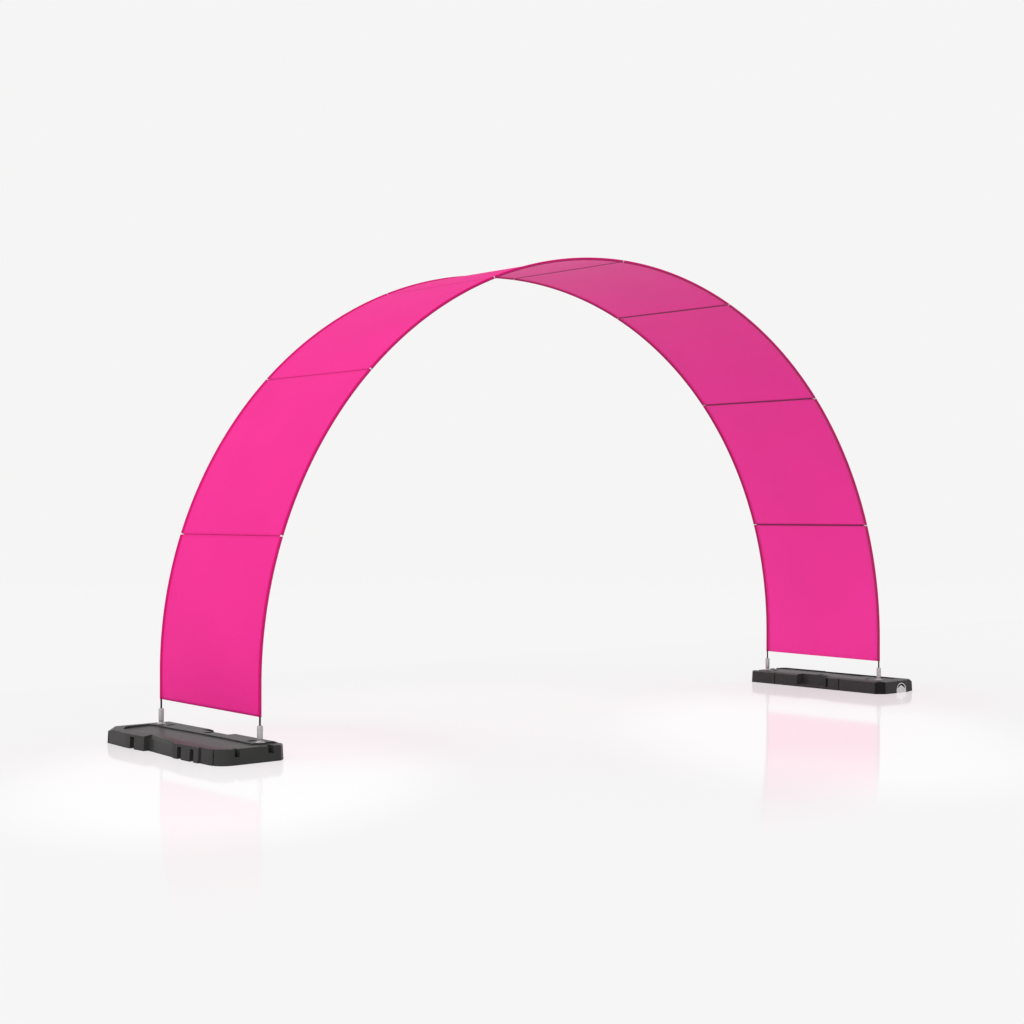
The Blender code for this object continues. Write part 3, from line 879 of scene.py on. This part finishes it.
plug = {
    "v": 0.1165, "halfWidth": 0.0515, "top": 0.067, "depth": 0.034, "setBack": 0.001, "rim": 0.0055,
    "recess": 0.0020, "peak": 0.0525, "crescentDepth": 0.028, "crescentFrom": 14, "crescentSteps": 18,
    "seatGap": 0.0003, "darkFrom": 0.005,
    "colour": (0.660, 0.635, 0.650, 1),
    "hollowShadeColour": (0.008, 0.008, 0.008, 1),
    "tone": {"Scale": 30.0, "Low": 0.92, "High": 1.05},
    "roughness": 0.45,
    "grain": 0.0012,
    "relief": (0.15, 0.0002),
}
softEdge = {"width": 0.0012, "segments": 3, "from": 35, "sharp": 22}
plateEnd = 0.602


def closedBlock(name, first, second):
    # two like outlines joined by sides
    return outward(meshFrom(name, first + second, ringFaces(len(first), 2)))


def prism(name, outline, low, high):
    return closedBlock(name, [(a, b, low) for a, b in outline], [(a, b, high) for a, b in outline])


def block(name, vRange, uRange, zRange):
    (inner, outer), (near, far) = vRange, uRange
    return prism(name, [(-inner, near), (-inner, far), (-outer, far), (-outer, near)], *zRange)


def scoopBlock(beyond, *ends):
    # a block whose inner wall has a knee and differs at its two ends
    walls = []
    for along, (topV, topZ), (kneeV, kneeZ), (footV, footZ) in ends:
        over, steep = plate["over"], (kneeV - topV) / (topZ - kneeZ)
        wall = [(beyond, footZ), (footV, footZ), (kneeV, kneeZ), (topV - steep * over, topZ + over)]
        walls.append([(-v, along, z) for v, z in wall + [(beyond, topZ + over)]])
    return closedBlock("scoop", *walls)


def leanBlock(fromV, fromU, toV, toU, low, high, lean, past=0.05, deep=0.08):
    # cuts what lies outside a plane that leans inwards as it rises
    start, end = Vector((fromV, fromU)), Vector((toV, toU))
    along = (end - start).normalized()
    out = Vector((along.y, -along.x))
    top = plate["height"] + plate["over"]
    rise = lean * (top - low) / (high - low)
    walls = []
    for at in (start - along * past, end + along * past):
        foot = at + out * deep
        wall = ((at, low), (foot, low), (foot, top), (at - out * rise, top))
        walls.append([(-corner.x, corner.y, level) for corner, level in wall])
    return closedBlock("lean", *walls)


def archedOutline(halfWidth, top, foot, steps=24):
    centre = top - halfWidth
    points = [(plug["v"] + halfWidth, foot)]
    for index in range(steps + 1):
        angle = math.pi * index / steps
        points.append((plug["v"] + halfWidth * math.cos(angle), centre + halfWidth * math.sin(angle)))
    return points + [(plug["v"] - halfWidth, foot)]


def standUp(data):
    # a block drawn as v, height between two u values, stood on its edge
    for vertex in data.vertices:
        v, height, along = vertex.co
        vertex.co = (-v, along, height)
    return outward(data)


def shapedMesh(target):
    return bpy.data.meshes.new_from_object(target.evaluated_get(bpy.context.evaluated_depsgraph_get()))


def carve(target, cutters):
    # takes the cutters out of the target's mesh for good
    for data in cutters:
        cutter = linked("cutter", data)
        cutter.matrix_world = target.matrix_world
        step = target.modifiers.new("cut", "BOOLEAN")
        step.operation, step.solver, step.object = "DIFFERENCE", "EXACT", cutter
        shaped = shapedMesh(target)
        target.modifiers.clear()
        target.data = shaped
        bpy.data.objects.remove(cutter)


def soften(target):
    step = target.modifiers.new("softEdges", "BEVEL")
    step.width, step.segments, step.miter_outer = softEdge["width"], softEdge["segments"], "MITER_ARC"
    step.limit_method, step.angle_limit = "ANGLE", math.radians(softEdge["from"])
    shaped = shapedMesh(target)
    target.modifiers.clear()
    target.data = shaped
    shaped.shade_smooth()
    shaped.set_sharp_from_angle(angle=math.radians(softEdge["sharp"]))
    target.modifiers.new("evenShading", "WEIGHTED_NORMAL").keep_sharp = True


def shrunk(corners, distance):
    # the same outline with every side moved inwards
    made = []
    for index, (v, u, radius) in enumerate(corners):
        before = Vector((v, u)) - Vector(corners[index - 1][:2])
        after = Vector(corners[(index + 1) % len(corners)][:2]) - Vector((v, u))
        first = Vector((before.y, -before.x)).normalized()
        second = Vector((after.y, -after.x)).normalized()
        moved = Vector((v, u)) + (first + second) * (distance / (1 + first.dot(second)))
        made.append((moved.x, moved.y, radius))
    return made


def plateBlock(edgeSteps=5, cornerSteps=7):
    # sides with a moulder's draft and a rounded top edge
    height, edge, draft = plate["height"], plate["edge"], plate["draft"]
    levels = [(0.0, 0.0)]
    for step in range(edgeSteps + 1):
        angle = math.pi / 2 * step / edgeSteps
        level = height - edge * (1 - math.sin(angle))
        levels.append((draft * (height - edge) / height + edge * (1 - math.cos(angle)), level))
    points = []
    for inset, level in levels:
        ring = roundedPath(shrunk(plate["outline"], inset), True, cornerSteps)
        points += [(-v, u, level) for v, u in ring]
    return outward(meshFrom("plateBody", points, ringFaces(len(ring), len(levels))))


def shoulderOutline(steps=17):
    # the end's lowered top, left standing round the pole's socket
    at, island, inner, outer, past = plate["shoulder"]
    low = math.asin((at + arch["poleAcross"]) / island)
    arc = [(island * math.cos(angle), island * math.sin(angle) - arch["poleAcross"])
           for angle in np.linspace(-math.pi - low, low, steps)]
    return [(inner, past), (inner, at)] + arc + [(outer, at), (outer, past)]


def plateCutters():
    extra, gap, depth = plate["over"], plug["seatGap"], plug["depth"]
    over = plate["height"] + extra
    deck = [(-v, u) for v, u in roundedPath(plate["deck"], True, 6)]
    floor = prism("deck", deck, plate["deckTop"], over)
    for vertex in floor.vertices:
        if vertex.co.z < plate["height"]:
            vertex.co.z += plate["deckFall"] * (vertex.co.x + plate["lip"][0][0])
    shoulder = [(-v, u) for v, u in shoulderOutline()]
    cutters = [floor, block("lip", *plate["lip"][:2], (plate["lip"][2], over)),
               prism("shoulder", shoulder, plate["shoulderTop"], over)]
    cutters += [leanBlock(*row) for row in plate["leans"]]
    cutters += [scoopBlock(beyond, *ends) for beyond, *ends in plate["scoops"]]
    cutters += [block("slot", row[:2], row[2:4], row[4:]) for row in plate["slots"]]
    seat = archedOutline(plug["halfWidth"] + gap, plug["top"] + gap, -extra)
    cutters.append(standUp(prism("seat", seat, plateEnd - depth - gap, plateEnd + extra)))
    return cutters


def between(tree, value, low, high):
    above, below = maths(tree, "GREATER_THAN", value, low), maths(tree, "LESS_THAN", value, high)
    return times(tree, above, below)


def buildPlateMaterial():
    made, tree, shader = newMaterial("mouldedRubber", {})
    chart = objectPlace(tree)
    slow = mottled(tree, chart, plate["tone"])
    # painted shade: steep chamfer faces at the plug's end are darkened in colour and specular, standing in
    # for a dark reflection
    parts, upright = split(tree, chart), split(tree, faceNormal(tree, "True Normal"))[2]
    shadedChamfer = maths(tree, "ADD", *(between(tree, parts[0], *within) for within in plate["facets"]))
    shadedChamfer = times(tree, shadedChamfer, maths(tree, "GREATER_THAN", parts[1], plate["facetFrom"]))
    steep = maths(tree, "LESS_THAN", maths(tree, "ABSOLUTE", upright), plate["facetSlope"])
    shade = times(tree, times(tree, shadedChamfer, steep), plate["facetPaintedShade"] - 1.0, 1.0)
    # painted reflection: faces turned up take a lighter colour, standing in for the bright surroundings they
    # reflect
    top = remap(tree, upright, *plate["topSlope"])
    body = toned(tree, mixColour(tree, top, plate["colour"], plate["topPaintedReflection"]), slow)
    # the edges are lightened partly as wear and partly as painted highlight
    worn = useGroup(tree, edgeWearAndHighlight, {"Vector": chart, **plate["wear"]})["Worn"]
    rubbedAndLit = mixColour(tree, times(tree, worn, plate["wornShare"]), body, plate["wornAndLitColour"])
    # settled dust, which also serves as painted highlight on the tops
    dustAndHighlightShare = useGroup(tree, dustAndHighlight, {"Vector": chart, **plate["dustAndHighlight"]})["Dust"]
    rough = times(tree, top, plate["topRoughness"],
                  times(tree, slow, *plate["roughness"]))
    feed(shader, {
        "Base Color": toned(tree, mixColour(tree, dustAndHighlightShare, rubbedAndLit, plate["dustHighlightColour"]), shade),
        "Specular IOR Level": times(tree, shade, times(tree, top, *plate["specular"])),
        "Roughness": times(tree, dustAndHighlightShare, plate["dustRoughness"], rough),
    })
    fine = useGroup(tree, grain, {"Vector": chart, "Size": plate["grain"]})["Height"]
    addRelief(shader, fine, *plate["relief"])
    return made


def buildPlugMaterial():
    made, tree, shader = newMaterial("plugPlastic", {"Specular IOR Level": 0.4})
    chart = objectPlace(tree)
    slow = mottled(tree, chart, plug["tone"])
    # painted shade: the hollow behind the face is painted black, as it would be unlit
    deep = maths(tree, "LESS_THAN", split(tree, chart)[1], plateEnd - plug["darkFrom"])
    feed(shader, {
        "Base Color": mixColour(tree, deep, toned(tree, plug["colour"], slow), plug["hollowShadeColour"]),
        "Roughness": times(tree, slow, plug["roughness"]),
    })
    fine = useGroup(tree, grain, {"Vector": chart, "Size": plug["grain"]})["Height"]
    addRelief(shader, fine, *plug["relief"])
    return made


plateMaterial, plugMaterial = buildPlateMaterial(), buildPlugMaterial()


def buildPlug():
    face, past, low = plateEnd - plug["setBack"], plateEnd + plate["over"], -plate["over"]
    outline = archedOutline(plug["halfWidth"], plug["top"], plug["seatGap"])
    made = linked("plugBody", standUp(prism("plugBody", outline, plateEnd - plug["depth"], face)))
    radius, centre = plug["halfWidth"] - plug["rim"], plug["top"] - plug["halfWidth"]
    crescent, start, steps = [(plug["v"], plug["peak"])], plug["crescentFrom"], plug["crescentSteps"]
    for index in range(steps + 1):
        angle = math.radians(180 - start - index * (180 - 2 * start) / steps)
        crescent.append((plug["v"] + radius * math.cos(angle), centre + radius * math.sin(angle)))
    recess = archedOutline(radius, plug["top"] - plug["rim"], low)
    carve(made, [standUp(prism("recess", recess, face - plug["recess"], past)),
                 standUp(prism("crescent", crescent, face - plug["crescentDepth"], past))])
    soften(made)
    return made


plateMade = linked("plateBody", plateBlock())
carve(plateMade, plateCutters())
soften(plateMade)
for source, name, node, material, slotName in (
        (plateMade, "plateBody", "base_plate", plateMaterial, "rubber"),
        (buildPlug(), "plugBody", "end_plug", plugMaterial, "plug")):
    shaped = shapedMesh(source)
    for end, sign in (("left", -1), ("right", 1)):
        made = addPiece("%s_%s" % (name, end), shaped, material, ["%s_%s" % (node, end)])
        made.rotation_euler = (0, 0, 0 if sign < 0 else math.pi)
        made.location = (sign * arch["spanHalf"], 0, 0)
    bpy.data.objects.remove(source)
print("base plates and plugs ready")


# Floor, light and camera

studio = {
    "backdrop": (0.921, 0.913, 0.913, 1),
    "skyLight": 0.78,
    "sideLight": 0.68,
    "sideFrom": (-0.97, -0.10, 0.15),
    "floorBounce": 0.78,
    "floorGlow": 0.737,
    "mirrorGlow": 0.12,
    "floorShade": 0.20,
    "halos": (  # x, y, stretch away from the camera, from, to, amount
        (-2.9, -0.9, 1.67, 0.6, 1.25, 0.085), (0.5, -1.6, 2.0, 0.6, 1.4, 0.085),
        (-0.3, 0.3, 1.0, 0.6, 2.4, 0.040),
    ),
    # painted pink bounce light beside the plates
    "tints": ((-1.95, -0.10, 0.4, 1.3, 0.75), (2.20, -0.60, 0.4, 1.3, 0.75)),  # x, y, from, to, amount
    "paintedBounceColour": (0.921, 0.840, 0.872, 1),
    "fade": (9.0, 24.0),
    "floorSize": 40.0,
    "floorSides": 96,
    "gloss": 0.21,
    "glossPower": 22.0,
    "glossBand": (2.5, 3.7),
    "glossFacing": 0.861,
    "glossMost": 0.25,
    "glossRoughness": 0.07,
    "camera": (-7.081, -7.898, 1.242),
    "yaw": 40.26,
    "pitch": -0.05,
    "lens": 60.89,
    "sensor": 36.0,
    "clip": (0.05, 200.0),
}


def softSpot(tree, distance, first, last, amount):
    return remap(tree, distance, first, last, amount, 0.0, "SMOOTHSTEP")


def shaderOf(tree, kind, *inputs):
    return place(tree, kind, inputs).outputs[0]


def buildFloor():
    size, sides = studio["floorSize"], studio["floorSides"]
    turns = [2 * math.pi * index / sides for index in range(sides)]
    points = [(0.0, 0.0, 0.0)] + [(size * math.cos(turn), size * math.sin(turn), 0.0) for turn in turns]
    data = meshFrom("floor", points, [(0, i + 1, (i + 1) % sides + 1) for i in range(sides)])
    linked("floor", data)
    material = bpy.data.materials.new("paleFloor")
    material.use_nodes = True
    data.materials.append(material)
    tree = material.node_tree
    tree.nodes.clear()
    chart, backdrop = objectPlace(tree), studio["backdrop"]
    # painted light: the floor glows a little brighter in front of each plate and between them, and pink
    # patches beside the plates paint in light thrown back by the cloth
    halo, tint, away = studio["floorGlow"], 0.0, math.radians(-studio["yaw"])
    for x, y, stretch, *spot in studio["halos"]:
        turned = place(tree, "Mapping", (chart, (x, y, 0.0), (0.0, 0.0, away), (1.0, stretch, 1.0)),
                       vector_type="TEXTURE").outputs[0]
        halo = maths(tree, "ADD", halo, softSpot(tree, vectorMaths(tree, "LENGTH", turned), *spot))
    for x, y, *spot in studio["tints"]:
        reach = vectorMaths(tree, "DISTANCE", chart, (x, y, 0.0))
        tint = maths(tree, "ADD", tint, softSpot(tree, reach, *spot))
    glow = shaderOf(tree, "Emission", mixColour(tree, tint, backdrop, studio["paintedBounceColour"]),
                    maths(tree, "DIVIDE", halo, backdrop[0]))
    shade, bounce = (shaderOf(tree, "BsdfDiffuse", (studio[key],) * 3 + (1,))
                     for key in ("floorShade", "floorBounce"))
    seen = shaderOf(tree, "AddShader", glow, shade)
    # a weak gloss, only at a low angle and near the arch
    facing = place(tree, "LayerWeight").outputs["Facing"]
    band = softSpot(tree, maths(tree, "ABSOLUTE", split(tree, chart)[1]), *studio["glossBand"], 1.0)
    steep = maths(tree, "POWER", maths(tree, "DIVIDE", facing, studio["glossFacing"]), studio["glossPower"])
    share = times(tree, times(tree, steep, band), studio["gloss"])
    polish = shaderOf(tree, "BsdfGlossy", (1, 1, 1, 1), studio["glossRoughness"])
    mirror = shaderOf(tree, "AddShader", polish, shaderOf(tree, "Emission", backdrop, studio["mirrorGlow"]))
    polished = shaderOf(tree, "MixShader", maths(tree, "MINIMUM", share, studio["glossMost"]), seen, mirror)
    isCamera = place(tree, "LightPath").outputs["Is Camera Ray"]
    both = shaderOf(tree, "MixShader", isCamera, bounce, polished)
    fade = remap(tree, vectorMaths(tree, "LENGTH", chart), *studio["fade"], 0.0, 1.0, "SMOOTHSTEP")
    final = shaderOf(tree, "MixShader", fade, both, shaderOf(tree, "BsdfTransparent"))
    place(tree, "OutputMaterial", (final,))


def buildWorld():
    world = bpy.data.worlds.new("studio")
    bpy.context.scene.world = world
    world.use_nodes = True
    tree = world.node_tree
    tree.nodes.clear()
    isCamera = place(tree, "LightPath").outputs["Is Camera Ray"]
    seen = shaderOf(tree, "Background", studio["backdrop"], 1.0)
    # a wide soft light from the left added to an even sky
    direction = place(tree, "TexCoord").outputs["Generated"]
    towards = vectorMaths(tree, "DOT_PRODUCT", direction, Vector(studio["sideFrom"]).normalized())
    side = maths(tree, "MAXIMUM", towards, 0.0)
    strength = times(tree, side, studio["sideLight"], studio["skyLight"])
    light = shaderOf(tree, "Background", (1, 1, 1, 1), strength)
    place(tree, "OutputWorld", (shaderOf(tree, "MixShader", isCamera, light, seen),))


buildFloor()
buildWorld()

cameraData = bpy.data.cameras.new("camera")
cameraData.lens, cameraData.sensor_width = studio["lens"], studio["sensor"]
cameraData.clip_start, cameraData.clip_end = studio["clip"]
camera = linked("camera", cameraData)
camera.location = studio["camera"]
camera.rotation_euler = (math.radians(90 + studio["pitch"]), 0, math.radians(-studio["yaw"]))
bpy.context.scene.camera = camera
bpy.context.scene.view_settings.view_transform = "Standard"
bpy.context.scene.view_settings.look = "None"
print("floor, light and camera ready")
